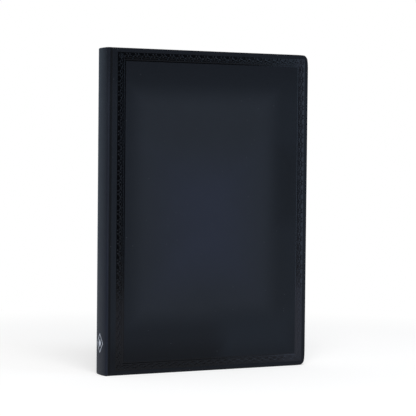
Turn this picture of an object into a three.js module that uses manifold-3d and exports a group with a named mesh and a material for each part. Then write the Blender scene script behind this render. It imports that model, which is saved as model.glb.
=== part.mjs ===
// A softcover journal, A5, closed and standing on its tail. Millimetres, +Z up.
// X runs from the spine (-X) to the fore-edge (+X), and the front cover faces -Y.
// The journal is alike on both sides of y = 0, so each piece is made for side -1, the front
// half, and side 1, the back half. Depths in Y are distances from that middle plane.
import * as THREE from 'three';
import { mergeVertices } from 'three/addons/utils/BufferGeometryUtils.js';
import Module from 'manifold-3d';

const wasm = await Module();
wasm.setup();

// Cover
const coverWidth = 148;
const coverHeight = 210;
const coverCornerRadius = 3;
const coverEdgeRound = 0.4;
const skinThickness = 0.7;
const boardThickness = 0.9;
const turnInThickness = 0.45;
const turnInWidth = 15;
const pastedownThickness = 0.2;
const pastedownMargin = 3;
const glueLine = 0.05;

// Crease between the spine and each cover panel
const shoulderRadius = 2.8;
const creaseWidth = 1.3;
const creaseDepth = 0.4;
const creaseSkinThickness = 0.5;
const creaseClearance = 0.1;
const boardSetback = 0.9;

// Debossed band round each panel
const bandWidth = 5.6;
const bandMargin = 2.9;
const bandHingeMargin = 3.6;
const bandDepth = 0.15;

// Text block
const square = 2;
const leafThickness = 0.1;
const flyleafThickness = 0.12;
const leavesPerSignature = 8;
const signaturesPerHalf = 6;
const turningLeavesPerHalf = 2;
const leafGap = 0.05;
const middleGap = 0.06;
const leafCornerRadius = 3;

// Layers on the spine of the text block, from the folds outwards
const stitchThickness = 0.2;
const glueThickness = 0.2;
const mullThickness = 0.15;
const linerThickness = 0.15;
const inlayThickness = 0.45;
const hollowBack = 0.1;
const layerSetback = 3;

// Sewing stations
const stationCount = 6;
const stationMargin = 18;
const stitchReach = 0.8;
const stitchWidth = 0.7;

// Head and tail bands
const bandRollRadius = 0.85;
const bandApronThickness = 0.15;
const bandApronLength = 8;

// Where leaves may start to turn, beyond the strip by which they are held in the gutter
const flyleafGrip = 3.8;
const turningLeafGrip = 1.6;

// Depths from the middle plane, from the middle outwards
const signatureThickness = leavesPerSignature * leafThickness;
const turningLeafPitch = leafThickness + leafGap;
const firstSignatureDepth = middleGap / 2 + turningLeavesPerHalf * turningLeafPitch;
const signaturePitch = signatureThickness + leafGap;
const blockDepth = firstSignatureDepth + signaturesPerHalf * signaturePitch - leafGap;
const flyleafDepth = blockDepth + leafGap;
const pastedownDepth = flyleafDepth + flyleafThickness + leafGap;
const turnInDepth = pastedownDepth + pastedownThickness + glueLine;
const boardDepth = turnInDepth + turnInThickness + glueLine;
const skinDepth = boardDepth + boardThickness + glueLine;
const coverDepth = skinDepth + skinThickness;

// Places along X
const spineX = -coverWidth / 2;
const foreEdgeX = coverWidth / 2;
const shoulderX = spineX + shoulderRadius;
const panelX = shoulderX + creaseWidth;
const inlayX = spineX + skinThickness + glueLine;
const apronX = inlayX + inlayThickness + hollowBack;
const linerX = apronX + bandApronThickness + glueLine;
const mullX = linerX + linerThickness + glueLine;
const glueX = mullX + mullThickness + glueLine;
const stitchX = glueX + glueThickness + glueLine;
const foldX = stitchX + stitchThickness + glueLine;
const blockForeEdgeX = foreEdgeX - square;

// Places along Z
const blockTail = square;
const blockHead = coverHeight - square;

// Finishes
const skinFinish = { color: 0x2a2f3a, roughness: 0.62, metalness: 0 };
const boardFinish = { color: 0x8f8577, roughness: 0.9, metalness: 0 };
const endpaperFinish = { color: 0x23262d, roughness: 0.85, metalness: 0 };
const paperFinish = { color: 0xeee7d6, roughness: 0.92, metalness: 0 };
const kraftFinish = { color: 0xa98458, roughness: 0.9, metalness: 0 };
const gauzeFinish = { color: 0xe6e2d8, roughness: 0.95, metalness: 0 };
const glueFinish = { color: 0xdcd6c4, roughness: 0.35, metalness: 0 };
const threadFinish = { color: 0xf4f1e8, roughness: 0.8, metalness: 0 };
const bandFinish = { color: 0x323848, roughness: 0.7, metalness: 0 };

const journal = new THREE.Group();

function place(name, geometry, finish) {
  const mesh = new THREE.Mesh(geometry, new THREE.MeshStandardMaterial(finish));
  mesh.name = name;
  journal.add(mesh);
}

// Name of the half on each side of the middle plane
function half(side) {
  return side < 0 ? 'front' : 'back';
}

// An upright outline in X and Z whose two corners at the fore-edge are rounded
function pageOutline(left, right, bottom, top, radius) {
  const outline = new THREE.Shape();
  outline.moveTo(left, bottom);
  outline.lineTo(right - radius, bottom);
  outline.absarc(right - radius, bottom + radius, radius, -Math.PI / 2, 0, false);
  outline.absarc(right - radius, top - radius, radius, 0, Math.PI / 2, false);
  outline.lineTo(left, top);
  outline.closePath();
  return outline;
}

// An upright outline carried through the depths near to far on one side, with rounded rims
function slab(outline, side, near, far, rim = 0) {
  const geometry = new THREE.ExtrudeGeometry(outline, {
    depth: far - near - 2 * rim,
    curveSegments: 8,
    bevelEnabled: rim > 0,
    bevelSize: rim,
    bevelThickness: rim,
    bevelOffset: -rim,
    bevelSegments: 3,
  });
  const highestY = side < 0 ? -near : far;
  geometry.translate(0, 0, rim - highestY);
  geometry.rotateX(Math.PI / 2);
  return geometry;
}

// A plan outline in X and Y carried up from bottom to top
function column(outline, bottom, top) {
  const geometry = new THREE.ExtrudeGeometry(outline, {
    depth: top - bottom,
    curveSegments: 10,
    bevelEnabled: false,
  });
  geometry.translate(0, 0, bottom);
  return geometry;
}

// A block between two X, two depths on one side and two heights
function block(side, left, right, near, far, bottom, top) {
  const geometry = new THREE.BoxGeometry(right - left, far - near, top - bottom);
  geometry.translate((left + right) / 2, (side * (near + far)) / 2, (bottom + top) / 2);
  return geometry;
}

function solidOf(geometry) {
  const bare = geometry.clone();
  bare.deleteAttribute('normal');
  bare.deleteAttribute('uv');
  const merged = mergeVertices(bare);
  const mesh = new wasm.Mesh({
    numProp: 3,
    vertProperties: merged.attributes.position.array,
    triVerts: new Uint32Array(merged.index.array),
  });
  return new wasm.Manifold(mesh);
}

function geometryOf(solid) {
  const mesh = solid.getMesh();
  const geometry = new THREE.BufferGeometry();
  geometry.setAttribute('position', new THREE.BufferAttribute(mesh.vertProperties, 3));
  geometry.setIndex(new THREE.BufferAttribute(mesh.triVerts, 1));
  geometry.computeVertexNormals();
  return geometry;
}

// The skin of a cover panel: the outer sheet, wrapped round head, fore-edge and tail and turned
// in on the board, with the thin strip of leather in the crease and the recess of the band
function coverSkin(side) {
  const outline = pageOutline(panelX, foreEdgeX, 0, coverHeight, coverCornerRadius);
  const pocketRight = foreEdgeX - skinThickness;
  const pocketTop = coverHeight - skinThickness;
  const pocketRadius = coverCornerRadius - skinThickness;
  const beyond = panelX - creaseWidth;
  const pocket = pageOutline(beyond, pocketRight, skinThickness, pocketTop, pocketRadius);
  const windowTop = coverHeight - turnInWidth;
  const window = pageOutline(beyond, foreEdgeX - turnInWidth, turnInWidth, windowTop, pocketRadius);
  const creaseFloor = coverDepth - creaseDepth;
  const crease = block(
    side,
    shoulderX + creaseClearance,
    panelX + creaseSkinThickness,
    creaseFloor - creaseSkinThickness,
    creaseFloor,
    0,
    coverHeight,
  );
  return geometryOf(
    solidOf(slab(outline, side, turnInDepth, coverDepth, coverEdgeRound))
      .subtract(solidOf(slab(pocket, side, turnInDepth + turnInThickness, skinDepth)))
      .subtract(solidOf(slab(window, side, pastedownDepth, boardDepth + glueLine)))
      .subtract(solidOf(bandRecess(side)))
      .add(solidOf(crease)),
  );
}

// The ring that the debossed band takes out of the outer face
function bandRecess(side) {
  const left = panelX + bandHingeMargin;
  const right = foreEdgeX - bandMargin;
  const bottom = bandMargin;
  const top = coverHeight - bandMargin;
  const outer = new THREE.Shape();
  outer.moveTo(left, bottom);
  outer.lineTo(right, bottom);
  outer.lineTo(right, top);
  outer.lineTo(left, top);
  outer.closePath();
  const inner = new THREE.Path();
  inner.moveTo(left + bandWidth, bottom + bandWidth);
  inner.lineTo(left + bandWidth, top - bandWidth);
  inner.lineTo(right - bandWidth, top - bandWidth);
  inner.lineTo(right - bandWidth, bottom + bandWidth);
  inner.closePath();
  outer.holes.push(inner);
  return slab(outer, side, coverDepth - bandDepth, coverDepth + skinThickness);
}

// The stiff but flexible board, held in the pocket of the skin by a glue line all round
function coverBoard(side) {
  const inset = skinThickness + glueLine;
  const outline = pageOutline(
    panelX + boardSetback,
    foreEdgeX - inset,
    inset,
    coverHeight - inset,
    coverCornerRadius - inset,
  );
  return slab(outline, side, boardDepth, boardDepth + boardThickness);
}

// The half of the endpaper that is glued to the inside of the cover
function pastedown(side) {
  const outline = pageOutline(
    panelX,
    foreEdgeX - pastedownMargin,
    pastedownMargin,
    coverHeight - pastedownMargin,
    coverCornerRadius,
  );
  return slab(outline, side, pastedownDepth, pastedownDepth + pastedownThickness);
}

// One leaf that turns, from the strip that holds it in the gutter to the fore-edge
function leaf(side, left, near, thickness) {
  const outline = pageOutline(left, blockForeEdgeX, blockTail, blockHead, leafCornerRadius);
  return slab(outline, side, near, near + thickness);
}

// A folded and sewn stack of leaves, round at the fold
function signature(side, near) {
  const radius = signatureThickness / 2;
  const centre = side * (near + radius);
  const plan = new THREE.Shape();
  plan.absarc(foldX + radius, centre, radius, Math.PI / 2, (3 * Math.PI) / 2, false);
  plan.lineTo(foreEdgeX, centre - radius);
  plan.lineTo(foreEdgeX, centre + radius);
  plan.closePath();
  const left = foldX - square;
  const trim = pageOutline(left, blockForeEdgeX, blockTail, blockHead, leafCornerRadius);
  const trimmed = slab(trim, side, near - leafGap, near + signatureThickness + leafGap);
  return geometryOf(solidOf(column(plan, 0, coverHeight)).intersect(solidOf(trimmed)));
}

// The leather on half of the spine: the flat, the rounded shoulder and the edge turned over the
// ends of the inlay at head and tail
function spineSkin(side) {
  const flatDepth = coverDepth - shoulderRadius;
  const innerRadius = shoulderRadius - skinThickness;
  const centre = side * flatDepth;
  const clockwise = side > 0;
  const end = side * (Math.PI / 2);
  const plan = new THREE.Shape();
  plan.moveTo(spineX, (side * middleGap) / 2);
  plan.absarc(shoulderX, centre, shoulderRadius, Math.PI, end, clockwise);
  plan.absarc(shoulderX, centre, innerRadius, end, Math.PI, !clockwise);
  plan.lineTo(spineX + skinThickness, (side * middleGap) / 2);
  plan.closePath();
  const lipRight = inlayX + inlayThickness;
  const lip = (bottom) =>
    solidOf(
      block(side, spineX + skinThickness / 2, lipRight, middleGap / 2, flatDepth, bottom,
        bottom + skinThickness),
    );
  return geometryOf(
    solidOf(column(plan, 0, coverHeight))
      .add(lip(0))
      .add(lip(coverHeight - skinThickness)),
  );
}

// The flexible strip inside the spine leather, between its turned ends
function spineInlay(side) {
  const bottom = skinThickness + glueLine;
  const depth = coverDepth - shoulderRadius;
  const right = inlayX + inlayThickness;
  return block(side, inlayX, right, middleGap / 2, depth, bottom, coverHeight - bottom);
}

// A layer glued on the spine of the text block
function spineLayer(side, left, thickness) {
  const bottom = blockTail + layerSetback;
  const top = blockHead - layerSetback;
  return block(side, left, left + thickness, middleGap / 2, blockDepth, bottom, top);
}

// The chain of stitches at one sewing station, zigzag from signature to signature
function stitches(side, height) {
  const chain = new THREE.Shape();
  const depthAt = (step) => firstSignatureDepth + (step * signaturePitch) / 2;
  const steps = 2 * signaturesPerHalf - 1;
  const heightAt = (step) => height + (step % 2 === 0 ? 0 : stitchReach);
  chain.moveTo(depthAt(0), heightAt(0));
  for (let step = 1; step <= steps; step += 1) {
    chain.lineTo(depthAt(step), heightAt(step));
  }
  for (let step = steps; step >= 0; step -= 1) {
    chain.lineTo(depthAt(step), heightAt(step) + stitchWidth);
  }
  chain.closePath();
  const geometry = new THREE.ExtrudeGeometry(chain, { depth: stitchThickness, bevelEnabled: false });
  const reflected = side < 0;
  geometry.translate(0, 0, reflected ? -stitchX - stitchThickness : stitchX);
  const turn = new THREE.Matrix4();
  const sign = reflected ? -1 : 1;
  turn.set(0, 0, sign, 0, sign, 0, 0, 0, 0, 1, 0, 0, 0, 0, 0, 1);
  geometry.applyMatrix4(turn);
  return geometry;
}

// The woven roll at head or tail, with the apron that is glued down the spine
function endBand(side, atHead) {
  const up = atHead ? 1 : -1;
  const edge = atHead ? blockHead : blockTail;
  const rollX = apronX + bandRollRadius + bandApronThickness / 2;
  const rollZ = edge + up * (glueLine + bandRollRadius);
  const roll = new THREE.CylinderGeometry(
    bandRollRadius,
    bandRollRadius,
    blockDepth - middleGap / 2,
    16,
  );
  roll.translate(rollX, (side * (blockDepth + middleGap / 2)) / 2, rollZ);
  const apronEnd = edge - up * bandApronLength;
  const apron = block(
    side,
    apronX,
    apronX + bandApronThickness,
    middleGap / 2,
    blockDepth,
    Math.min(apronEnd, rollZ),
    Math.max(apronEnd, rollZ),
  );
  return geometryOf(solidOf(roll).add(solidOf(apron)));
}

// Covers, from the outer face inwards
for (const side of [-1, 1]) {
  place(`${half(side)}_cover_skin`, coverSkin(side), skinFinish);
  place(`${half(side)}_cover_board`, coverBoard(side), boardFinish);
  place(`${half(side)}_pastedown`, pastedown(side), endpaperFinish);
  const flyleafX = foldX + flyleafGrip;
  const flyleaf = leaf(side, flyleafX, flyleafDepth, flyleafThickness);
  place(`${half(side)}_flyleaf`, flyleaf, endpaperFinish);
}

// Spine, from the outer face inwards
for (const side of [-1, 1]) {
  place(`${half(side)}_spine_skin`, spineSkin(side), skinFinish);
  place(`${half(side)}_spine_inlay`, spineInlay(side), boardFinish);
  place(`${half(side)}_spine_liner`, spineLayer(side, linerX, linerThickness), kraftFinish);
  place(`${half(side)}_spine_mull`, spineLayer(side, mullX, mullThickness), gauzeFinish);
  place(`${half(side)}_spine_glue`, spineLayer(side, glueX, glueThickness), glueFinish);
  place(`${half(side)}_head_band`, endBand(side, true), bandFinish);
  place(`${half(side)}_tail_band`, endBand(side, false), bandFinish);
  for (let station = 0; station < stationCount; station += 1) {
    const span = blockHead - blockTail - 2 * stationMargin;
    const height = blockTail + stationMargin + (station * span) / (stationCount - 1);
    place(`${half(side)}_stitches_${station + 1}`, stitches(side, height), threadFinish);
  }
}

// Text block: signatures count from the front cover, and the turning leaves from the middle
for (let count = 0; count < signaturesPerHalf; count += 1) {
  const near = firstSignatureDepth + count * signaturePitch;
  place(`signature_${signaturesPerHalf - count}`, signature(-1, near), paperFinish);
  place(`signature_${signaturesPerHalf + count + 1}`, signature(1, near), paperFinish);
}
for (const side of [-1, 1]) {
  for (let count = 0; count < turningLeavesPerHalf; count += 1) {
    const near = middleGap / 2 + count * turningLeafPitch;
    const turning = leaf(side, foldX + turningLeafGrip, near, leafThickness);
    place(`${half(side)}_middle_leaf_${count + 1}`, turning, paperFinish);
  }
}

export default journal;
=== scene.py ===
"""A softcover journal in dark imitation leather, closed and standing on its tail.

The script follows the journal as it is bound: the sewn text block and its loose leaves, the
layers on its spine, the end bands, the endpapers, then the covers, the debossed bands and the
spine leather. Sizes are in millimetres times mm, so that every place is in metres. The rows
of the pads of painted light and shade, and of the wear, alone are in plain millimetres.
"""

from math import cos, pi, radians, sin

import bmesh
import bpy
import numpy as np
from mathutils import Matrix, Vector


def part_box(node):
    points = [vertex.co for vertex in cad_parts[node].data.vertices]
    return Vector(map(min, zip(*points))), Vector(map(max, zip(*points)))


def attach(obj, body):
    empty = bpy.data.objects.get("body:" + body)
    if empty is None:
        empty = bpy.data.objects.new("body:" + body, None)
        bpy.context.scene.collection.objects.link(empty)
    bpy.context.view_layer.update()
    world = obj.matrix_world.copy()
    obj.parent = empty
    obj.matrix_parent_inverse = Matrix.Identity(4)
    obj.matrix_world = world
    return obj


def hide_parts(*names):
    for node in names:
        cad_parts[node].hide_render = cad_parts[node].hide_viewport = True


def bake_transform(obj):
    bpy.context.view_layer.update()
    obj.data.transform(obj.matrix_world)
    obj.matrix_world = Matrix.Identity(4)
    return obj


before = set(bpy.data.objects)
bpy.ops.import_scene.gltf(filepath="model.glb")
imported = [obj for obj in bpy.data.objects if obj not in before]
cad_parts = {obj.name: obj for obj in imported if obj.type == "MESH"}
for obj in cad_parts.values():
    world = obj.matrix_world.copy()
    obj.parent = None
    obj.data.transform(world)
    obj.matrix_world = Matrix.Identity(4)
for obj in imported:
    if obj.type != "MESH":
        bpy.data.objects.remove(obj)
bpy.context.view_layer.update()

mm = 0.001


# Camera
# It looks at the spine side of the front cover from a little above half height. Its turn,
# distance and lens are those at which the journal's outline lies as in the photograph. The
# lens and the sensor are in millimetres, as Blender counts them.
camera_yaw = radians(26.66)
camera_pitch = radians(1.93)
camera_roll = radians(0.564)
camera_distance = 1065 * mm
camera_aim_right = 2.54 * mm
camera_aim_up = 106.92 * mm
camera_lens = 138.86
camera_sensor_width = 36


def new_object(name, data):
    """A camera, mesh or lamp as an object of the scene."""
    thing = bpy.data.objects.new(name, data)
    bpy.context.scene.collection.objects.link(thing)
    return thing


backward = Vector((
    -sin(camera_yaw) * cos(camera_pitch),
    -cos(camera_yaw) * cos(camera_pitch),
    sin(camera_pitch),
))
level_right = Vector((cos(camera_yaw), -sin(camera_yaw), 0))
level_up = backward.cross(level_right)
camera_right = cos(camera_roll) * level_right + sin(camera_roll) * level_up
camera_up = cos(camera_roll) * level_up - sin(camera_roll) * level_right
camera_data = bpy.data.cameras.new("camera")
camera_data.sensor_width = camera_sensor_width
camera_data.lens = camera_lens
camera = new_object("camera", camera_data)
camera.matrix_world = Matrix.Translation(
    backward * camera_distance + level_right * camera_aim_right + level_up * camera_aim_up
) @ Matrix((camera_right, camera_up, backward)).transposed().to_4x4()
bpy.context.scene.camera = camera


# Signatures of the text block
# Twelve folded and sewn stacks of eight leaves of cream paper. The folds are round at the
# spine, and the three other sides are cut, so that each leaf shows as a fine line there.
signature_count = 12
leaves_per_signature = 8
leaf_notch = 0.035 * mm
leaf_notch_share = 0.12
leaf_trim_error = 0.02 * mm
leaf_corner_radius = 3 * mm
leaf_corner_steps = 6
fibres_per_metre = 2600
fibre_clouds_per_metre = 90
page_colour = (0.80, 0.74, 0.60)
page_shade_colour = tuple(0.86 * part for part in page_colour)
rule_colour = (0.36, 0.39, 0.43)
rule_pitch = 7.1 * mm
rule_width = 0.16 * mm
rule_foot = 14 * mm
rule_head = 190 * mm


def feed(node, values):
    """Gives a node's sockets, by name or by number, plain values or other nodes' outputs."""
    for key, value in values.items():
        if isinstance(value, bpy.types.NodeSocket):
            node.id_data.links.new(value, node.inputs[key])
        else:
            node.inputs[key].default_value = value


def add_node(kind, values, tree=None, **settings):
    """A new node, with its settings and what its sockets are fed with. It goes into the tree
    of the first output that feeds it, unless a tree is given."""
    outputs = (value for value in values.values() if isinstance(value, bpy.types.NodeSocket))
    node = (tree or next(outputs).id_data).nodes.new("ShaderNode" + kind)
    for name, value in settings.items():
        setattr(node, name, value)
    feed(node, values)
    return node


def maths(operation, *values):
    """The result of a Math node on its values, in order."""
    return add_node("Math", dict(enumerate(values)), operation=operation).outputs[0]


def split_axes(vector):
    """The X, Y and Z of a vector."""
    return add_node("SeparateXYZ", {0: vector}).outputs


def noise(place, scale, detail, roughness=0.5):
    """The outputs of a noise texture."""
    return add_node("TexNoise", {
        "Vector": place, "Scale": scale, "Detail": detail, "Roughness": roughness}).outputs


def mix_colour(factor, *colours):
    """The mix of two colours, each a plain one or an output, by a factor."""
    first, second = (c + (1,) if isinstance(c, tuple) else c for c in colours)
    return add_node("Mix", {0: factor, 6: first, 7: second}, data_type="RGBA").outputs[2]


def bump(height, distance, strength):
    """The normal of a height given in shares of a distance in metres."""
    return add_node("Bump", {
        "Height": height, "Distance": distance, "Strength": strength}).outputs["Normal"]


def new_group(name, outputs, **inputs):
    """The two ends of a new shader node group. It takes a Vector and the named inputs, each
    of its kind, and puts out floats."""
    tree = bpy.data.node_groups.new(name, "ShaderNodeTree")
    sockets = [(label, "INPUT", kind) for label, kind in {"Vector": "Vector", **inputs}.items()]
    for label, way, kind in sockets + [(label, "OUTPUT", "Float") for label in outputs]:
        tree.interface.new_socket(label, in_out=way, socket_type="NodeSocket" + kind)
    return tree.nodes.new("NodeGroupInput").outputs, tree.nodes.new("NodeGroupOutput")


def use_group(group, place, **values):
    """The outputs of a group placed in a material with its own values."""
    return add_node("Group", {"Vector": place, **values}, node_tree=group).outputs


def new_material(name, values):
    """A material with one Principled shader: itself, its shader and its coordinates."""
    material = bpy.data.materials.new(name)
    material.use_nodes = True
    shader = material.node_tree.nodes["Principled BSDF"]
    feed(shader, values)
    return material, shader, add_node("TexCoord", {}, material.node_tree).outputs["Object"]


def paper_fibre_group():
    """Shade from half a cloudy noise and half a fine one, and pulp height from the fine one."""
    given, end = new_group("paper_fibre", ("Shade", "Height"))
    cloud = noise(given["Vector"], fibre_clouds_per_metre, 3)["Fac"]
    pulp = noise(given["Vector"], fibres_per_metre, 4, 0.7)["Fac"]
    shade = maths("MULTIPLY_ADD", pulp, 0.5, maths("MULTIPLY", cloud, 0.5))
    feed(end, {"Shade": shade, "Height": pulp})
    return end.id_data


def ruled_line_group():
    """A mask of level lines: the height over the lowest line, modulo the pitch, against the
    line's width, and only between the lowest and the highest line."""
    given, end = new_group("ruled_lines", ("Mask",))
    height = split_axes(given["Vector"])["Z"]
    within = maths("MODULO", maths("SUBTRACT", height, rule_foot), rule_pitch)
    thin = maths("LESS_THAN", within, rule_width)
    above = maths("GREATER_THAN", height, rule_foot)
    below = maths("LESS_THAN", height, rule_head)
    in_area = maths("MULTIPLY", above, below)
    feed(end, {"Mask": maths("MULTIPLY", in_area, thin)})
    return end.id_data


paper_fibre = paper_fibre_group()
ruled_lines = ruled_line_group()


def fibrous_material(name, dark, light, roughness, relief=0.03 * mm, strength=0.5, ruled=False):
    """Matt pressed fibres: a colour between two by the shade of the fibres, under the ruled
    lines where it is the face of a page, and the relief of the pulp."""
    material, shader, place = new_material(
        name, {"Roughness": roughness, "Specular IOR Level": 0.3})
    fibre = use_group(paper_fibre, place)
    colour = mix_colour(fibre["Shade"], dark, light)
    if ruled:
        colour = mix_colour(use_group(ruled_lines, place)["Mask"], colour, rule_colour)
    feed(shader, {
        "Base Color": colour, "Normal": bump(fibre["Height"], relief, strength)})
    return material


page_edge, page_face = (
    fibrous_material(name, page_shade_colour, page_colour, roughness=0.85, relief=0.02 * mm,
                     strength=0.4, ruled=ruled)
    for name, ruled in (("page_edge", False), ("page_face", True)))


def points(x, y, z):
    """An array of points from their X, Y and Z, each carried over the grid of the others."""
    return np.stack(np.broadcast_arrays(x, y, z), axis=-1)


def add_piece(name, vertices, faces, materials, sharp_angle=40):
    """A closed mesh from an array of points and a list of faces, with its doubles merged,
    its faces turned outwards, and its edges sharp where they turn by more than an angle."""
    mesh = bpy.data.meshes.new(name)
    mesh.from_pydata(vertices.reshape(-1, 3).tolist(), [], faces)
    shape = bmesh.new()
    shape.from_mesh(mesh)
    bmesh.ops.remove_doubles(shape, verts=shape.verts, dist=1e-7)
    bmesh.ops.dissolve_degenerate(shape, edges=shape.edges, dist=1e-8)
    bmesh.ops.recalc_face_normals(shape, faces=shape.faces)
    shape.to_mesh(mesh)
    shape.free()
    mesh.shade_smooth()
    mesh.set_sharp_from_angle(angle=radians(sharp_angle))
    for material in materials:
        mesh.materials.append(material)
    return new_object(name, mesh)


def grid_faces(rows, columns, wrap_rows=False, wrap_columns=False):
    """Faces of a grid whose vertices count along its columns first: each joins a vertex to
    the next in its row and in its column, round the end where the grid is wrapped."""
    index = np.arange(rows * columns).reshape(rows, columns)
    if wrap_rows:
        index = np.vstack([index, index[:1]])
    if wrap_columns:
        index = np.hstack([index, index[:, :1]])
    corners = (index[:-1, :-1], index[:-1, 1:], index[1:, 1:], index[1:, :-1])
    return np.stack([corner.ravel() for corner in corners], axis=1).tolist()


def tube_faces(rows, columns):
    """Faces of a grid that is wrapped round its rows, and one more over each open end."""
    first = np.arange(rows) * columns
    last = first + columns - 1
    return grid_faces(rows, columns, wrap_rows=True) + [first.tolist(), last.tolist()]


def leaf_outline(low, high, radius):
    """The outline of a page, anticlockwise from the foot of the fold: its X, Z and outward
    direction in X and Z. The two corners away from the fold are quarter circles."""
    angle = np.linspace(0, pi / 2, leaf_corner_steps + 1)
    sine, cosine = radius * np.sin(angle), radius * np.cos(angle)
    centre_x = high.x - radius
    foot = [centre_x + sine, low.z + radius - cosine, np.sin(angle), -np.cos(angle)]
    head = [centre_x + cosine, high.z - radius + sine, np.cos(angle), np.sin(angle)]
    start = [[low.x], [low.z], [-1], [-1]]
    finish = [[low.x], [high.z], [-1], [1]]
    return np.hstack([start, foot, head, finish])


def signature_piece(node, number):
    """A stack of leaves: the outline is carried through the thickness and drawn in, at the
    fold by a half circle, and at the cut sides by a notch between each leaf and the next.
    The two faces with more than four corners are its outer pages."""
    low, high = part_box(node)
    random = np.random.default_rng(number)
    notch = np.array([0, leaf_notch_share, 1 - leaf_notch_share])
    ends = np.arange(leaves_per_signature)[:, None] + notch
    share = np.append(ends.ravel(), leaves_per_signature) / leaves_per_signature
    trim = random.uniform(0, leaf_trim_error, leaves_per_signature)
    drawn = np.append(np.stack([np.full_like(trim, leaf_notch), trim, trim], 1), leaf_notch)
    x, z, out_x, out_z = leaf_outline(low, high, leaf_corner_radius)
    radius = (high.y - low.y) / 2
    round_fold = radius * (1 - np.sqrt(np.clip(1 - (2 * share - 1) ** 2, 0, 1)))
    inset_x = np.where(out_x[:, None] < 0, round_fold, drawn)
    grid = points(x[:, None] - out_x[:, None] * inset_x, low.y + (high.y - low.y) * share,
                  z[:, None] - out_z[:, None] * drawn)
    piece = add_piece(node + "_leaves", grid, tube_faces(len(x), len(share)),
                      (page_edge, page_face), sharp_angle=30)
    for face in piece.data.polygons:
        face.material_index = int(len(face.vertices) > 4)
    return piece


for number in range(1, signature_count + 1):
    signature = f"signature_{number}"
    block = "front_block" if number <= signature_count // 2 else "back_block"
    stack = signature_piece(signature, number)
    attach(stack, block)
    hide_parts(signature)


# Leaves that turn at the middle of the book
# Single leaves of the same paper, held in the fold with their signature.
leaf_bend_end = 6 * mm
fold_inset = 0.1 * mm
fold_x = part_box("signature_7")[0].x + fold_inset


def thick_sheet(name, outer, inner, material):
    """A closed sheet from two grids of points, one for each of its faces. The rims of the
    two grids are joined, point to point, by a strip of faces."""
    rows, columns = outer.shape[:2]
    count = rows * columns
    index = np.arange(count).reshape(rows, columns)
    rim = np.concatenate([index[0, :], index[1:, -1], index[-1, -2::-1], index[-2:0:-1, 0]])
    following = np.roll(rim, -1)
    strip = np.stack([rim, following, following + count, rim + count], axis=1)
    face_up = np.array(grid_faces(rows, columns))
    faces = np.concatenate([face_up, face_up[:, ::-1] + count, strip]).tolist()
    vertices = np.concatenate([outer.reshape(-1, 3), inner.reshape(-1, 3)])
    return add_piece(name, vertices, faces, [material])


def rounded_page(xs, zs, radius):
    """X and Z of a grid of a page. In each square corner away from the fold, the square is
    drawn to a quarter circle: each side times the root of one less half the other squared."""
    x, z = np.meshgrid(xs, zs)
    middle = (zs[0] + zs[-1]) / 2
    centre_x = xs[-1] - radius
    centre_z = zs[-1] - middle - radius
    side = np.sign(z - middle)
    across = (x - centre_x) / radius
    up = (np.abs(z - middle) - centre_z) / radius
    corner = (across > 0) & (up > 0)
    round_x = centre_x + radius * across * np.sqrt(np.clip(1 - up**2 / 2, 0, 1))
    round_up = radius * up * np.sqrt(np.clip(1 - across**2 / 2, 0, 1))
    round_z = middle + side * (centre_z + round_up)
    return np.where(corner, round_x, x), np.where(corner, round_z, z)


def stations(*stretches):
    """Places along a line, from stretches of (start, end, steps), with no place twice."""
    parts = [np.linspace(*stretch, endpoint=False) for stretch in stretches]
    return np.append(np.concatenate(parts), stretches[-1][1])


def flat_leaf(name, low, high, start_x, bend_x, radius, material):
    """A page as a thick flat sheet that fills a box from start_x on. Its columns are close
    up to bend_x."""
    xs = stations((start_x, bend_x, 24), (bend_x, high.x - radius, 30),
                  (high.x - radius, high.x, 5))
    zs = stations((low.z, low.z + radius, 5), (low.z + radius, high.z - radius, 40),
                  (high.z - radius, high.z, 5))
    x, z = rounded_page(xs, zs, radius)
    return thick_sheet(name, points(x, low.y, z), points(x, high.y, z), material)


for side in ("front", "back"):
    for count in (1, 2):
        node = f"{side}_middle_leaf_{count}"
        low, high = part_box(node)
        bend_x = fold_x + leaf_bend_end
        leaf = flat_leaf(f"{node}_page", low, high, fold_x, bend_x, leaf_corner_radius, page_face)
        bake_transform(leaf)
        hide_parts(node)


# Fold at the middle of the book
# The paper that joins the two halves of the text block at its fold. It is creased double
# while the journal is closed.
fold_crease_x = -73.33 * mm
fold_half_gap = 0.015 * mm
fold_paper = 0.01 * mm
fold_overlap = 0.3 * mm


def creased_sheet(low, high):
    """A hairpin: straight in, a half circle at the crease, and straight out again. The
    circle's radius is half the gap for one face, and larger by the paper for the other."""
    turn = np.linspace(0, pi, 73)[1:-1]
    leg = np.linspace(fold_x + fold_overlap, fold_crease_x, 8)
    z = np.linspace(low.z, high.z, 40)[:, None]
    sides = []
    for radius in (fold_half_gap + fold_paper, fold_half_gap):
        x = np.concatenate([leg, fold_crease_x - radius * np.sin(turn), leg[::-1]])
        y = np.concatenate([0 * leg + radius, radius * np.cos(turn), 0 * leg - radius])
        sides.append(points(x, y, z))
    return thick_sheet("centre_fold_sheet", *sides, page_edge)


fold_sheet = creased_sheet(*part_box("signature_7"))
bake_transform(fold_sheet)


# Layers on the spine of the text block
# Thread chains link the signatures at six stations. Over them lie a film of white glue, open
# cotton gauze and a strip of brown kraft paper, each glued to the one beneath.
def woven_group():
    """Height of a plain weave, from 0 to 1: the larger of two rows of half waves."""
    given, end = new_group("plain_weave", ("Height",), Threads="Float")
    scaled = add_node("VectorMath", {0: given["Vector"], "Scale": given["Threads"]},
                      operation="SCALE").outputs[0]
    axes = split_axes(scaled)
    waves = [maths("ABSOLUTE", maths("SINE", axes[axis])) for axis in ("Y", "Z")]
    feed(end, {"Height": maths("MAXIMUM", *waves)})
    return end.id_data


plain_weave = woven_group()


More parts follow.
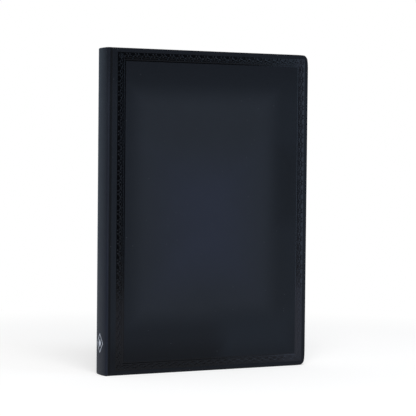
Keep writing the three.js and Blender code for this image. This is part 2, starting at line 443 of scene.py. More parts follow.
def woven_material(name, dark, light, threads_per_metre):
    """A woven stuff: dark in the gaps between the threads, painted shade, and light on them."""
    material, shader, place = new_material(
        name, {"Roughness": 0.9, "Specular IOR Level": 0.2})
    height = use_group(plain_weave, place, Threads=pi * threads_per_metre)["Height"]
    feed(shader, {
        "Base Color": mix_colour(height, dark, light),
        "Normal": bump(height, 0.1 * mm, 0.6)})
    return material


kraft = fibrous_material("kraft_paper", (0.26, 0.14, 0.06), (0.45, 0.28, 0.14), 0.85)
glue = fibrous_material("dried_glue", (0.62, 0.56, 0.42), (0.76, 0.71, 0.58), 0.4)
gauze = woven_material("gauze", (0.45, 0.4, 0.32), (0.82, 0.79, 0.72), 900)
thread = woven_material("linen_thread", (0.55, 0.52, 0.46), (0.88, 0.86, 0.8), 3200)
spine_finishes = {"liner": kraft, "mull": gauze, "glue": glue, "stitches": thread}
for name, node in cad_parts.items():
    for word, finish in spine_finishes.items():
        if word in name.split("_"):
            node.data.materials.clear()
            node.data.materials.append(finish)


# End bands
# A cord wrapped in dark blue and grey silk, stuck at head and tail of the spine by its apron.
# It is one piece across the spine.
band_thread_pitch = 0.5 * mm
band_stripe_threads = 2
band_thread_relief = 0.06 * mm
band_silk_colours = ((0.02, 0.028, 0.05), (0.42, 0.44, 0.47))
silk_twists_per_metre = 9000
apron_thickness = 0.15 * mm
apron_start_share = 0.8
spine_bend_half_width = 0.6 * mm


def end_band_piece(end, material):
    """The outline of the cord and its apron, carried across the spine. The cord's radius
    swells by a half wave over each thread that is wrapped round it."""
    low, high = (
        Vector(map(pick, *(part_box(f"{side}_{end}_band")[which] for side in ("front", "back"))))
        for which, pick in enumerate((min, max)))
    up, outer_z, apron_z = (1, high.z, low.z) if end == "head" else (-1, low.z, high.z)
    radius = (high.x - low.x - apron_thickness / 2) / 2 - band_thread_relief
    centre_x = high.x - radius - band_thread_relief
    centre_z = outer_z - up * (radius + band_thread_relief)
    turn = np.linspace(-0.5 * pi, pi, 22)[:, None]
    across = np.linspace(low.y, high.y, 260)
    reach = radius + band_thread_relief * np.abs(np.sin(pi * across / band_thread_pitch))
    inner_x = low.x + apron_thickness
    inner_z = centre_z - up * apron_start_share * radius
    apron_xs = np.array([[low.x], [low.x], [inner_x], [inner_x]])
    apron_zs = np.array([[centre_z], [apron_z], [apron_z], [inner_z]])
    x = np.vstack([centre_x + reach * np.cos(turn), apron_xs + 0 * across])
    z = np.vstack([centre_z + up * reach * np.sin(turn), apron_zs + 0 * across])
    return add_piece(f"{end}_band_silk", points(x, across, z), tube_faces(*x.shape), [material],
                     sharp_angle=50)


def follow_spine(piece):
    """Bakes a piece's transform into its mesh."""
    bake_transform(piece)


def band_silk_material():
    """Silk stripes across the spine: the place in Y, modulo two stripes, picks the colour."""
    material, shader, place = new_material("band_silk", {"Roughness": 0.45})
    stripe = band_thread_pitch * band_stripe_threads
    shifted = maths("ADD", split_axes(place)["Y"], 100 * stripe)
    second = maths("GREATER_THAN", maths("MODULO", shifted, 2 * stripe), stripe)
    twist = use_group(plain_weave, place, Threads=pi * silk_twists_per_metre)["Height"]
    feed(shader, {
        "Base Color": mix_colour(second, *band_silk_colours),
        "Normal": bump(twist, 0.03 * mm, 0.5)})
    return material


band_silk = band_silk_material()
for end in ("head", "tail"):
    band = end_band_piece(end, band_silk)
    follow_spine(band)
    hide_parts(f"front_{end}_band", f"back_{end}_band")


# Endpapers
# A folded sheet of dark paper at each end of the book. One half is pasted down inside the
# cover over the turned-in leather, and the other turns as the flyleaf.
endpaper = fibrous_material("endpaper", (0.012, 0.015, 0.022), (0.024, 0.029, 0.04), 0.8)
pastedown_corner_radius = 3 * mm
crease_strip = 1.3 * mm
joint_bend_margin = 0.2 * mm
joint_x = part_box("front_spine_skin")[1].x
panel_x = joint_x + crease_strip
joint_bend_end = panel_x + joint_bend_margin

for side in ("front", "back"):
    low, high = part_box(f"{side}_pastedown")
    paste = flat_leaf(f"{side}_pastedown_sheet", low, high, joint_x, joint_bend_end,
                      pastedown_corner_radius, endpaper)
    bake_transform(paste)
    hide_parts(f"{side}_pastedown")
    low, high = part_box(f"{side}_flyleaf")
    fly = flat_leaf(f"{side}_flyleaf_sheet", low, high, joint_x, low.x, leaf_corner_radius,
                    endpaper)
    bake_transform(fly)
    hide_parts(f"{side}_flyleaf")


# Leather of the cover panels
# Imitation leather over a thin flexible board. It is wrapped round the three outer edges and
# turned in, nipped into a crease beside the spine, and lies in a very slight crown.
leather_wall = 0.68 * mm
turned_wall = 0.43 * mm
edge_reach = 0.9 * mm
spine_edge_thickness = 1.15 * mm
crown_drop = 0.30 * mm
crown_width = 20 * mm
rim_drop = 0.2 * mm
rim_width = 4 * mm
crease_depth = 0.6 * mm
crease_middle_x = joint_x + 0.2 * mm
crease_half_width = 1.5 * mm
turned_insets = np.array([1.5, 2.4, 4.5, 8, 15]) * mm
corner_radius = 3 * mm
corner_reach = 9 * mm
corner_draw_x = 1.0 * mm
corner_draw_z = 0.35 * mm
sharpest_turn = 0.3 * mm
recess_depth = 0.26 * mm
band_margin = 2.9 * mm
band_hinge_margin = 3.6 * mm
band_width = 5.6 * mm
hair = 0.02 * mm
pebbles_per_metre = 1900
pebble_share = 0.8
pores_per_metre = 9000
pore_share = 0.35
bends_per_metre = 500
grain_bend = (0.6 * mm, 0.6 * mm, 0.6 * mm)
leather_clouds_per_metre = 28
dust_per_metre = 160
dust_colour = (0.05, 0.056, 0.068)
pad_variation = 0.2

cover_low, cover_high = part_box("front_cover_skin")
cover_top = cover_high.z
cover_middle = cover_top / 2
fore_edge_x = cover_high.x
cover_depth = -cover_low.y
turn_in_depth = -cover_high.y
board_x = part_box("front_cover_board")[0].x
band_left = panel_x + band_hinge_margin
band_right = fore_edge_x - band_margin
band_foot = band_margin
band_head = cover_top - band_margin


def smooth_step(value):
    """Three times the square less twice the cube, of a value held between 0 and 1."""
    held = np.clip(value, 0, 1)
    return held * held * (3 - 2 * held)


def face_depth(x, z):
    """Depth of the leather's outer face from the book's middle plane: the full depth, less a
    crown that sinks towards the sides, less a parabola along the three turned edges, less a
    groove, half a cosine wave, over the crease."""
    to_edge = np.minimum(fore_edge_x - x, cover_middle - np.abs(z - cover_middle))
    to_side = np.minimum(x - panel_x, to_edge)
    sunk = crown_drop * (1 - smooth_step(to_side / crown_width)) ** 2
    sunk = sunk + rim_drop * np.clip(1 - to_edge / rim_width, 0, 1) ** 2
    reach = np.clip((x - crease_middle_x) / crease_half_width, -1, 1)
    groove = crease_depth * (0.5 + 0.5 * np.cos(pi * reach))
    past_joint = smooth_step((x - joint_x) / (board_x - joint_x))
    return cover_depth - sunk * past_joint - groove


def recess(x, z):
    """The sunk ring that the band lies in: its full depth between the band's two outlines."""
    inside = np.minimum(np.minimum(x - band_left, band_right - x),
                        np.minimum(z - band_foot, band_head - z))
    return np.where((inside > 0) & (inside < band_width), recess_depth, 0)


def edge_rings(wall):
    """The rings of the sheet past the panel's face, each as its inset from the outline and
    its share of the way inwards: level, half an ellipse round the edge, and level again. A
    wall makes the ellipse smaller, for the inner side of the leather."""
    level = np.linspace(corner_radius, edge_reach, 6)[1:]
    angle = np.linspace(0, pi, 15)[1:]
    round_edge = edge_reach - (edge_reach - wall) * np.sin(angle)
    inset = np.concatenate([level, round_edge, turned_insets])
    share = np.concatenate([0 * level, (1 - np.cos(angle)) / 2, 1 + 0 * turned_insets])
    return inset, share


def band_stations(low, high, steps):
    """Places from low to high, with a close pair astride each line of the band."""
    lines = np.array([low, low + band_width, high - band_width, high])
    inner = np.linspace(low + band_width, high - band_width, steps)[1:-1]
    strips = [np.linspace(line, line + band_width, 5)[1:-1] for line in (low, high - band_width)]
    return np.concatenate([lines - hair, lines + hair, inner, *strips])


def between(places, low, high):
    """The places in rising order that lie from low to high, with both ends put in."""
    inner = places[(places > low + hair) & (places < high - hair)]
    return np.concatenate([[low], np.sort(inner), [high]])


cover_columns = between(
    np.concatenate([stations((joint_x, board_x, 30), (board_x, band_left - hair, 6)),
                    band_stations(band_left, band_right, 60)]),
    joint_x, fore_edge_x - corner_radius)
cover_rows = between(band_stations(band_foot, band_head, 90),
                     corner_radius, cover_top - corner_radius)


def cover_face(wall, inner_wall):
    """One side of the cover's leather. The panel's grid runs on past its foot, head and fore
    edge in rings. A ring is straight along a side, and at a corner it is an arc whose radius
    is the corner radius less the inset. Its angle is the share of the two ring counts. Past
    the band, worn corners are drawn in by a square of the nearness to the corner."""
    inset, share = edge_rings(wall)
    rings = np.arange(1, len(inset) + 1)
    ring_x, ring_z = np.meshgrid(
        np.concatenate([0 * cover_columns, rings]).astype(int),
        np.concatenate([rings[::-1], 0 * cover_rows, rings]).astype(int))
    flat_x, flat_z = np.meshgrid(np.pad(cover_columns, (0, len(rings)), "edge"),
                                 np.pad(cover_rows, len(rings), "edge"))
    ring = np.maximum(ring_x, ring_z)
    inset = np.append(corner_radius, inset)[ring]
    share = np.append(0, share)[ring]
    turn = np.where(ring_x >= ring_z, ring_z, 2 * ring - ring_x) / np.maximum(ring, 1) * pi / 4
    radius = np.where(ring > 0, np.maximum(corner_radius - inset, sharpest_turn), 0)
    stretch_x = (fore_edge_x - inset - radius - joint_x) / (cover_columns[-1] - joint_x)
    stretch_z = (cover_middle - inset - radius) / (cover_rows[-1] - cover_middle)
    side = np.sign(flat_z - cover_middle)
    x = joint_x + (flat_x - joint_x) * stretch_x + radius * np.cos(turn)
    z = cover_middle + (flat_z - cover_middle) * stretch_z + side * radius * np.sin(turn)
    outer = face_depth(x, z) - np.where(ring > 0, 0, recess(x, z))
    thin_end = cover_depth - spine_edge_thickness
    over_board = smooth_step((x - joint_x) / (board_x - joint_x))
    inner = thin_end + (turn_in_depth - thin_end) * over_board
    to_corner = np.hypot(fore_edge_x - x, cover_middle - np.abs(z - cover_middle))
    past_band = np.clip((corner_radius - inset) / (corner_radius - edge_reach), 0, 1)
    drawn = past_band * np.clip(1 - to_corner / corner_reach, 0, 1) ** 2
    depth = (outer - wall) * (1 - share) + (inner + inner_wall) * share
    return x - corner_draw_x * drawn, depth, z - side * corner_draw_z * drawn


def map_range(value, low, high, new_low, new_high, kind="LINEAR"):
    """A value that runs from low to high, made to run between two new ends and held there."""
    ends = {0: value, 1: low, 2: high, 3: new_low, 4: new_high}
    return add_node("MapRange", ends, interpolation_type=kind).outputs[0]


def vector_maths(operation, *values, out=0):
    """The result of a Vector Math node on its values, in order."""
    return add_node("VectorMath", dict(enumerate(values)), operation=operation).outputs[out]


def cell_distance(place, scale):
    """The distance to the nearest of scattered points, so many to a metre."""
    return add_node(
        "TexVoronoi", {"Vector": place, "Scale": scale}, feature="F1").outputs["Distance"]


def leather_grain_group():
    """Fine grain: small pebbles, from cells whose places a noise bends, and pores. Puts out
    its height, a slow change of shade, and sparse specks of dust."""
    given, end = new_group("leather_grain", ("Height", "Shade", "Dust"), Size="Float")
    place = given["Vector"]
    bend = vector_maths("MULTIPLY", noise(place, bends_per_metre, 2)["Color"], grain_bend)
    pebbles = cell_distance(vector_maths("ADD", place, bend), given["Size"])
    pores = noise(place, pores_per_metre, 2)["Fac"]
    height = maths("MULTIPLY_ADD", pores, pore_share, maths("MULTIPLY", pebbles, pebble_share))
    shade = noise(place, leather_clouds_per_metre, 5, 0.6)["Fac"]
    dust = map_range(cell_distance(place, dust_per_metre), 0.05, 0.03, 0, 1)
    feed(end, {"Height": height, "Shade": shade, "Dust": dust})
    return end.id_data


def soft_rectangle_group():
    """A mask that is 1 inside a rectangle in X and Z and falls smoothly to 0 across its
    sides: the larger of the two distances past the sides, over the softness."""
    given, end = new_group(
        "soft_rectangle", ("Mask",), Middle="Vector", Half="Vector", Softness="Float")
    apart = vector_maths("SUBTRACT", given["Vector"], given["Middle"])
    past = vector_maths("SUBTRACT", vector_maths("ABSOLUTE", apart), given["Half"])
    axes = split_axes(past)
    share = maths("DIVIDE", maths("MAXIMUM", axes["X"], axes["Z"]), given["Softness"])
    feed(end, {"Mask": map_range(share, -1, 1, 1, 0, "SMOOTHSTEP")})
    return end.id_data


leather_grain = leather_grain_group()
soft_rectangle = soft_rectangle_group()


def shaded(grain, colour, variation):
    """A colour that is lighter and darker by a share of itself with the leather's shade."""
    shades = (tuple(part * share for part in colour) for share in (1 - variation, 1 + variation))
    return mix_colour(grain["Shade"], *shades)


def with_pads(place, grain, colour, pads):
    """A colour under soft rectangles of other colours, one over the other. Each pad is its
    middle and half size in X and Z and its softness, in millimetres, and its colour. A half
    size of 1000 takes in the whole journal."""
    for *sizes, pad_colour in pads:
        middle_x, middle_z, half_x, half_z, softness = (size * mm for size in sizes)
        pad = use_group(soft_rectangle, place, Middle=(middle_x, 0, middle_z),
                        Half=(half_x, 1, half_z), Softness=softness)
        colour = mix_colour(pad["Mask"], colour, shaded(grain, pad_colour, pad_variation))
    return colour


def leather_material(name, colour, pads, sheen=None):
    """Matt blue-black imitation leather. Its pads are soft patches of lighter and darker colour:
    painted light and shade, in part also the leather's own tone."""
    material, shader, place = new_material(
        name, {"Specular IOR Level": 0.15, **(sheen or {})})
    grain = use_group(leather_grain, place, Size=pebbles_per_metre)
    colour = with_pads(place, grain, shaded(grain, colour, 0.3), pads)
    feed(shader, {
        "Base Color": mix_colour(grain["Dust"], colour, dust_colour),
        "Roughness": map_range(grain["Shade"], 0.3, 0.7, 0.5, 0.6),
        "Normal": bump(grain["Height"], 0.05 * mm, 0.35)})
    return material


# Painted shade down the crease beside the spine: a dark line in its groove.
crease_painted_shade = (crease_middle_x / mm + 0.1, 105, 0.6, 1000, 0.9, (0.0012, 0.0018, 0.0032))
# The cover's pads: lighter towards the middle and darker towards foot and head, partly the
# leather's own tone and partly painted light and shade; a lighter patch low towards the fore-edge
# and a darker one high on it, painted light and shade; a darker strip along the foot, painted
# shade; and the crease, painted shade.
cover_leather = leather_material("cover_leather", (0.0040, 0.0057, 0.0098), pads=(
    (0, 105, 1000, 82, 16, (0.0068, 0.0095, 0.0150)),
    (-3.5, 108.5, 49.5, 72.5, 9, (0.0138, 0.0174, 0.0248)),
    (-2, 98, 28, 36, 26, (0.0164, 0.0209, 0.0357)),
    (60, 122, 8, 24, 10, (0.0046, 0.0066, 0.0108)),
    (36, 24, 26, 12, 12, (0.0088, 0.0124, 0.0192)),
    (-32, 10, 40, 5, 8, (0.0018, 0.0030, 0.0058)),
    crease_painted_shade,
))

cover_faces = (cover_face(0, 0), cover_face(leather_wall, turned_wall))
for side, sign in (("front", -1), ("back", 1)):
    outer, inner = (points(x, sign * depth, z) for x, depth, z in cover_faces)
    panel = thick_sheet(f"{side}_cover_leather", outer, inner, cover_leather)
    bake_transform(panel)
    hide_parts(f"{side}_cover_skin")


# Cover boards
# A sheet of thin flexible grey card with round corners in each cover. It lies in the pocket
# between the leather's outer face and its turned-in edges, and the pastedown covers it.
board_card = fibrous_material("grey_card", (0.20, 0.19, 0.17), (0.33, 0.32, 0.29), 0.9)
board_corner_radius = 5 * mm
for side in ("front", "back"):
    low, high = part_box(f"{side}_cover_board")
    board = flat_leaf(f"{side}_cover_card", low, high, low.x, low.x + board_corner_radius,
                      board_corner_radius, board_card)
    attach(board, f"{side}_cover")
    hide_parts(f"{side}_cover_board")


# Debossed bands of the covers
# A frame pressed into each cover with a hot die. Its ground is smooth and glossy, and the
# ornament on it is left high and matt: bead pairs, two woven strands with a boss in each eye,
# a thin rule inside them, and a rosette at each corner.
ground_drop = 0.15 * mm
relief_drop = 0.01 * mm
relief_slope = 0.26 * mm
ornament_pitch = 6.3 * mm
ornament_width = 4.1 * mm
strand_line = 2.45 * mm
strand_swing = 0.95 * mm
strand_half_width = 0.18 * mm
strand_dip = 0.3
boss_radius = 0.33 * mm
bead_line = 0.8 * mm
bead_from_eye = 1.05 * mm
bead_radius = 0.3 * mm
foot_bead_drop = 1.25 * mm
foot_bead_radius = 0.24 * mm
inner_rule_line = 4.35 * mm
inner_rule_half_width = 0.3 * mm
rosette_inset = 0.1 * mm
rosette_radius = 1.4 * mm
petal_count = 8
petal_length = 0.35 * mm
petal_groove_radius = 0.85 * mm
petal_groove_half_width = 0.14 * mm
petal_groove_depth = 0.8
rosette_boss_radius = 0.5 * mm
strand_dullness = 0.3
rosette_boss_dullness = 0.6
inner_rule_dullness = 0.4
worn_dullness = 0.5
band_spacing = 0.23 * mm
band_rows = 30
ground_colour = (0.0020, 0.0022, 0.0029)
bead_colour = (0.016, 0.019, 0.026)
# Painted light on the bands: a painted reflection along the fore-edge side, the foot and low on
# the hinge side, which also evens out the ornament's tones there.
band_painted_light = (
    (69, 105, 4, 1000, 3, (0.0064, 0.0064, 0.0086)),
    (46, 5, 28, 5, 22, (0.0088, 0.0096, 0.0130)),
    (69, 30, 7, 24, 16, (0.0205, 0.0226, 0.0315)),
    (-66, 33, 5, 14, 10, (0.0066, 0.0068, 0.0092)),
)
band_wear = (
    (90, 156, 37, 91, 16, 0.42),
    (-8, -20, 48, 45, 20, 0.3),
)


def raised(distance, half_width):
    """1 where a distance is under a half width, falling smoothly to 0 over the slope."""
    return smooth_step((half_width - distance) / relief_slope + 0.5)


def band_ornament(inset, along, length):
    """Height and dullness of a side's ornament, from 0 on the ground to 1. inset counts from
    the outer line and along from the side's start. The strands are two sine waves in
    opposite phase, and each dips where it passes under the other."""
    eyes = np.round(length / ornament_pitch)
    phase = along / length * eyes
    from_eye = (phase - np.floor(phase) - 0.5) * length / eyes
    swing = strand_swing * np.sin(pi * phase)
    dip = strand_dip * 0.5 * (1 + np.cos(2 * pi * phase)) * np.cos(pi * phase)
    steepness = strand_swing * pi * eyes / length
    slant = 1 / np.sqrt(1 + (steepness * np.cos(pi * phase)) ** 2)
    from_centre = inset - strand_line
    over = raised(np.abs(from_centre - swing) * slant, strand_half_width)
    under = raised(np.abs(from_centre + swing) * slant, strand_half_width)
    strands = np.maximum(over * (1 - np.maximum(dip, 0)), under * (1 + np.minimum(dip, 0)))
    to_crossing = length / eyes / 2 - np.abs(from_eye)
    beads = np.max([
        raised(np.hypot(from_centre, from_eye), boss_radius),
        raised(np.hypot(inset - bead_line, np.abs(from_eye) - bead_from_eye), bead_radius),
        raised(np.hypot(from_centre - foot_bead_drop, to_crossing), foot_bead_radius),
    ], axis=0)
    return np.maximum(strands, beads), np.maximum(strand_dullness * strands, beads)


def corner_rosette(across, up):
    """Height and dullness of a corner's rosette: eight petals whose outline is a circle with
    a cosine of the angle on it, a groove round their foot, and a boss in the middle."""
    middle = ornament_width / 2 + rosette_inset
    distance = np.hypot(across - middle, up - middle)
    angle = np.arctan2(up - middle, across - middle)
    outline = rosette_radius + petal_length * np.cos(petal_count * angle)
    groove = raised(np.abs(distance - petal_groove_radius), petal_groove_half_width)
    petals = raised(distance, outline) * (1 - petal_groove_depth * groove)
    boss = raised(distance, rosette_boss_radius)
    dull = np.maximum(strand_dullness * petals, rosette_boss_dullness * boss)
    return np.maximum(petals, boss), dull


def worn_share(x, z):
    """How far handling has worn the ornament down, from 0 to 1: the largest of soft
    rectangles, each given as a pad is, with a depth of wear for its colour."""
    share = 0 * x
    for *sizes, wear in band_wear:
        middle_x, middle_z, half_x, half_z, softness = (size * mm for size in sizes)
        past = np.maximum(np.abs(x - middle_x) - half_x, np.abs(z - middle_z) - half_z)
        share = np.maximum(share, wear * smooth_step(0.5 - 0.5 * past / softness))
    return share


def band_surface():
    """The frame's grid: each side's columns run from mitre to mitre, its rows step inwards,
    and a last row at each side goes down under it. The relief is worked out from each
    point's own place. Returns X, depth, Z and the dullness of the relief."""
    inset = np.linspace(hair, band_width - hair, band_rows)
    low = np.array([band_left, band_foot])
    high = np.array([band_right, band_head])
    middle, half = (low + high) / 2, (high - low) / 2
    columns = []
    for turn in range(4):
        long_way = turn % 2
        count = int(2 * half[long_way] / band_spacing)
        along = np.linspace(-1, 1, count, endpoint=False) * (1 if turn in (0, 1) else -1)
        place = np.empty((2, band_rows, count))
        place[long_way] = middle[long_way] + along * (half[long_way] - inset[:, None])
        across = half[1 - long_way] - inset[:, None] + 0 * along
        place[1 - long_way] = middle[1 - long_way] + across * (1 if turn in (1, 2) else -1)
        columns.append(place)
    x, z = np.concatenate(columns, axis=2)
    in_x = np.minimum(x - low[0], high[0] - x)
    in_z = np.minimum(z - low[1], high[1] - z)
    upright = in_x < in_z
    along = np.where(upright, z - low[1], x - low[0]) - ornament_width
    length = 2 * np.where(upright, half[1], half[0]) - 2 * ornament_width
    near = np.minimum(in_x, in_z)
    relief, dull = np.where(
        near > ornament_width, 0,
        np.where(np.maximum(in_x, in_z) < ornament_width, corner_rosette(in_x, in_z),
                 band_ornament(near, along, length)))
    rule = raised(np.abs(near - inner_rule_line), inner_rule_half_width)
    worn = worn_share(x, z)
    relief = np.maximum(relief, rule) * (1 - worn)
    dull = np.maximum(dull, inner_rule_dullness * rule) * (1 - worn) + worn_dullness * worn
    depth = face_depth(x, z) - ground_drop + (ground_drop - relief_drop) * relief
    floor = face_depth(x, z) - recess_depth + hair
    wrap = [0] + list(range(band_rows)) + [band_rows - 1]
    depth = np.vstack([floor[:1], depth, floor[-1:]])
    return x[wrap], depth, z[wrap], dull[wrap]


def band_material():
    """Pressed leather: glossy on the ground, and matt where the dullness attribute is high.
    Its cube picks the beads' lighter colour. The pads are painted light, a painted reflection
    over parts of the band."""
    material, shader, place = new_material("pressed_leather", {
        "Specular IOR Level": 0.16, "Specular Tint": (0.85, 0.89, 1, 1)})
    dull = add_node(
        "Attribute", {}, material.node_tree, attribute_name="dullness").outputs["Fac"]
    grain = use_group(leather_grain, place, Size=pebbles_per_metre)
    shades = (shaded(grain, colour, pad_variation) for colour in (ground_colour, bead_colour))
    colour = mix_colour(maths("POWER", dull, 3), *shades)
    feed(shader, {
        "Base Color": with_pads(place, grain, colour, band_painted_light),
        "Roughness": map_range(dull, 0, 1, 0.13, 0.42),
        "Normal": bump(grain["Height"], 0.02 * mm, 0.15)})
    return material


pressed_leather = band_material()
x, depth, z, dull = band_surface()
faces = grid_faces(*x.shape, wrap_rows=True, wrap_columns=True)
for side, sign in (("front", -1), ("back", 1)):
    band = add_piece(f"{side}_cover_band", points(x, sign * depth, z), faces, [pressed_leather])
    dullness = band.data.attributes.new("dullness", "FLOAT", "POINT")
    dullness.data.foreach_set("value", dull.ravel())
    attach(band, f"{side}_cover")


# Spine leather and inlay
# The same leather runs over the rounded spine from joint to joint, turned at head and tail
# over flexible card. The card is cut through down the spine's middle.
spine_roundness = 2.1
spine_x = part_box("front_spine_skin")[0].x
inlay_half = 4.4 * mm
inlay_cut = 0.03 * mm
inlay_thickness = 0.3 * mm
inlay_setback = 1 * mm
spine_spacing = 0.12 * mm


def spine_section():
    """Half of the spine's outer line, from its middle to the joint: a quarter of a
    superellipse up to the shoulder, and then the first half of the crease's wave."""
    turn = np.linspace(0, pi / 2, 600)
    shoulder_x = crease_middle_x - crease_half_width
    x = shoulder_x - (shoulder_x - spine_x) * np.cos(turn) ** (2 / spine_roundness)
    y = cover_depth * np.sin(turn) ** (2 / spine_roundness)
    crease_x = np.linspace(shoulder_x, joint_x, 100)[1:]
    return np.append(x, crease_x), np.append(y, face_depth(crease_x, cover_middle))


half_x, half_y = spine_section()
section = np.stack([np.append(half_x[:0:-1], half_x), np.append(-half_y[:0:-1], half_y)])
section_steps = np.hypot(*np.diff(section, axis=1))
section_length = np.append(0, np.cumsum(section_steps))
section_length -= section_length[-1] / 2
section_slope = np.gradient(section, section_length, axis=1)
section_out = np.stack([-section_slope[1], section_slope[0]]) / np.hypot(*section_slope)
spine_half = section_length[-1]


def under_spine(places, depth):
    """X and Y at places along the spine's section and at depths under the leather's face.
    Places count from the middle of the spine, the back half's upwards."""
    return [
        np.interp(places, section_length, line) - np.interp(places, section_length, out) * depth
        for line, out in zip(section, section_out)]


def spine_places(half):
    """Places from one side of the spine to the other, closest at the fold in its middle."""
    fold = np.linspace(0, 1.2 * spine_bend_half_width, 12)
    outer = np.linspace(fold[-1], half, int(half / spine_spacing))[1:]
    one_side = np.append(fold, outer)
    return np.append(-one_side[:0:-1], one_side)


def spine_sheet_face(wall, inner_wall):
    """One side of the spine's leather: the curve, moved in by the wall. Its rows are the
    cover's, so that the two meet at the joint, and they turn in at head and tail."""
    inset, share = edge_rings(wall)
    turned = share < 1
    inset = np.append(inset[turned], edge_reach)
    share = np.append(share[turned], 1)
    z = np.concatenate([inset[::-1], cover_rows, cover_top - inset])
    inward = np.concatenate([share[::-1], 0 * cover_rows, share])
    depth = wall * (1 - inward) + (spine_edge_thickness - inner_wall) * inward
    x, y = under_spine(spine_places(spine_half), depth[:, None])
    return points(x, y, z[:, None])


def spine_strip(name, depths, ends, low_z, high_z, material):
    """A strip that follows the spine's curve between two places along it and between two
    depths under the leather's face."""
    z = np.linspace(low_z, high_z, 40)[:, None]
    near, far = (points(*under_spine(np.linspace(*ends, 40), depth), z) for depth in depths)
    return thick_sheet(name, near, far, material)


# The spine's pads: darker at the head, painted shade, and lighter and bluer towards the tail,
# painted light; the crease is painted shade.
spine_leather = leather_material("spine_leather", (0.0138, 0.0172, 0.0270), pads=(
    (-72, 214, 6, 20, 28, (0.0090, 0.0108, 0.0172)),
    (-72, 20, 6, 50, 40, (0.0132, 0.0176, 0.0318)),
    crease_painted_shade,
), sheen={"Sheen Weight": 0.1, "Sheen Roughness": 0.28, "Sheen Tint": (0.8, 0.9, 1, 1)})
spine = thick_sheet("spine_leather", spine_sheet_face(0, 0),
                    spine_sheet_face(leather_wall, turned_wall), spine_leather)
follow_spine(spine)
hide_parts("front_spine_skin", "back_spine_skin")

for side, sign in (("front", -1), ("back", 1)):
    inlay = spine_strip(
        f"{side}_spine_card", (leather_wall + hair, leather_wall + inlay_thickness),
        (sign * inlay_cut, sign * inlay_half), inlay_setback, cover_top - inlay_setback,
        board_card)
    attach(inlay, f"{side}_block")
    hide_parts(f"{side}_spine_inlay")


# Foil ornament on the spine
# A lozenge line of silver foil with a solid lozenge inside it. Both are stamped with a hot
# die into the spine's leather near the tail.
lozenge_centre_z = 20.6 * mm
lozenge_half_height = 6.5 * mm
lozenge_half_width = 4.6 * mm
foil_proud = 0.02 * mm
foil_sunk = 0.15 * mm
foil_colours = ((0.30, 0.32, 0.37), (0.62, 0.65, 0.72))


def lozenge_ring(name, outer, inner, material):
    """A thin ring between two lozenges, given as shares of the whole. Its columns go round
    in straight lines between the four points, and it lies on the spine's curve."""
    turn = np.linspace(0, 4, 161)[:-1]
    across = np.abs((turn + 2) % 4 - 2) - 1
    up = np.abs((turn + 1) % 4 - 2) - 1
    size = np.array([outer, outer, (outer + inner) / 2, inner, inner])[:, None]
    depth = np.array([foil_sunk, -foil_proud, -foil_proud, -foil_proud, foil_sunk])[:, None]
    x, y = under_spine(size * across * lozenge_half_width, depth)
    z = lozenge_centre_z + size * up * lozenge_half_height
    faces = grid_faces(*x.shape, wrap_rows=True, wrap_columns=True)
    return add_piece(name, points(x, y, z), faces, [material])


def foil_material():
    """Stamped silver foil, rubbed thin in small spots so that its brightness varies."""
    material, shader, place = new_material("silver_foil", {"Metallic": 1})
    height = use_group(leather_grain, place, Size=pebbles_per_metre)["Height"]
    feed(shader, {
        "Base Color": mix_colour(height, *foil_colours),
        "Roughness": map_range(height, 0.2, 0.8, 0.3, 0.5),
        "Normal": bump(height, 0.03 * mm, 0.3)})
    return material


silver_foil = foil_material()
for name, outer, inner in (("spine_lozenge_line", 1, 0.86), ("spine_lozenge_heart", 0.42, 0.02)):
    lozenge = lozenge_ring(name, outer, inner, silver_foil)
    follow_spine(lozenge)


# Studio
# A white floor and backdrop with a darker room towards the camera. A large soft lamp stands
# high on the left of the camera, and a low soft panel on its right.
floor_radius = 700 * mm
shadow_radius = 420 * mm
floor_self_light = 0.5
floor_white = 0.56
room_light = 0.45
room_gloss = 0.03
cool_white = (0.64, 0.81, 1)
backdrop_direction = (0, 1, 0)


def stage_floor():
    """A disc round the journal's foot: points on a circle, with one face over them."""
    turn = np.linspace(0, 2 * pi, 97)[:-1]
    ring = np.stack([floor_radius * np.cos(turn), floor_radius * np.sin(turn), 0 * turn], axis=1)
    mesh = bpy.data.meshes.new("floor")
    mesh.from_pydata(ring.tolist(), [], [list(range(len(ring)))])
    return new_object("floor", mesh)


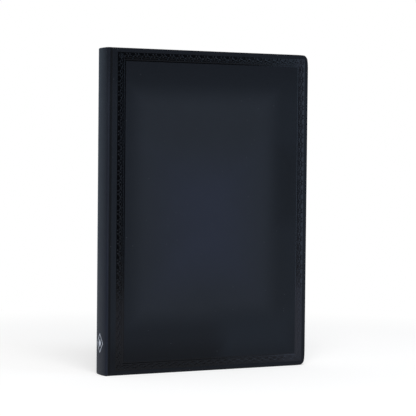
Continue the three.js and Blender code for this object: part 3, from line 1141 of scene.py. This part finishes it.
def floor_material():
    """White, taking the journal's shadow. The camera and reflections also see an even light
    in it, which makes up its white, and far from the journal they see that light alone."""
    material, shader, place = new_material("floor_white", {
        "Roughness": 1, "Specular IOR Level": 0,
        "Base Color": (floor_white, floor_white, floor_white, 1)})
    tree = material.node_tree
    rays = add_node("LightPath", {}, tree).outputs
    seen = maths("MAXIMUM", rays["Is Camera Ray"], rays["Is Glossy Ray"])
    own_light = add_node("Emission", {"Strength": maths("MULTIPLY", seen, floor_self_light)})
    lit = add_node("AddShader", {0: shader.outputs[0], 1: own_light.outputs[0]})
    white = add_node("Emission", {}, tree)
    reach = vector_maths("LENGTH", place, out="Value")
    far = map_range(reach, 0.6 * shadow_radius, shadow_radius, 0, 1, "SMOOTHSTEP")
    mix = add_node("MixShader", {
        0: maths("MULTIPLY", far, seen), 1: lit.outputs[0], 2: white.outputs[0]})
    feed(tree.nodes["Material Output"], {"Surface": mix.outputs[0]})
    return material


def light_world():
    """White to the camera. A reflection sees white towards the backdrop and the dim room on
    the other side, and a matt surface gets the room's even light."""
    world = bpy.data.worlds.new("studio")
    world.use_nodes = True
    tree = world.node_tree
    rays = add_node("LightPath", {}, tree).outputs
    place = add_node("TexCoord", {}, tree).outputs["Generated"]
    towards = vector_maths("DOT_PRODUCT", place, backdrop_direction, out="Value")
    gloss = map_range(towards, 0.15, 0.95, room_gloss, 1, "SMOOTHSTEP")
    mirrored = maths("MAXIMUM", rays["Is Glossy Ray"], rays["Is Transmission Ray"])
    by_gloss = add_node("Mix", {0: mirrored, 2: room_light, 3: gloss}).outputs[0]
    by_camera = add_node("Mix", {0: rays["Is Camera Ray"], 2: by_gloss, 3: 1.0}).outputs[0]
    feed(tree.nodes["Background"], {
        "Strength": by_camera,
        "Color": mix_colour(mirrored, (1, 1, 1), cool_white)})
    bpy.context.scene.world = world


def soft_lamp(name, place, size, power, colour):
    """A rectangular area lamp that faces the middle of the journal. Its place and its size
    are in metres, and its power in watts."""
    lamp = bpy.data.lights.new(name, "AREA")
    lamp.shape = "RECTANGLE"
    lamp.size, lamp.size_y = size
    lamp.energy = power
    lamp.color = colour
    aim = Vector((0, 0, cover_middle)) - Vector(place)
    facing = aim.to_track_quat("-Z", "Y").to_matrix().to_4x4()
    new_object(name, lamp).matrix_world = Matrix.Translation(place) @ facing


floor = stage_floor()
floor.data.materials.append(floor_material())
light_world()
soft_lamp("high_lamp", (-0.35, -1.0, 1.5), (0.9, 0.9), 19, (1, 1, 1))
soft_lamp("low_panel", (0.763, -0.973, 0.35), (0.3, 0.9), 2.8, cool_white)
bpy.context.scene.view_settings.view_transform = "Standard"
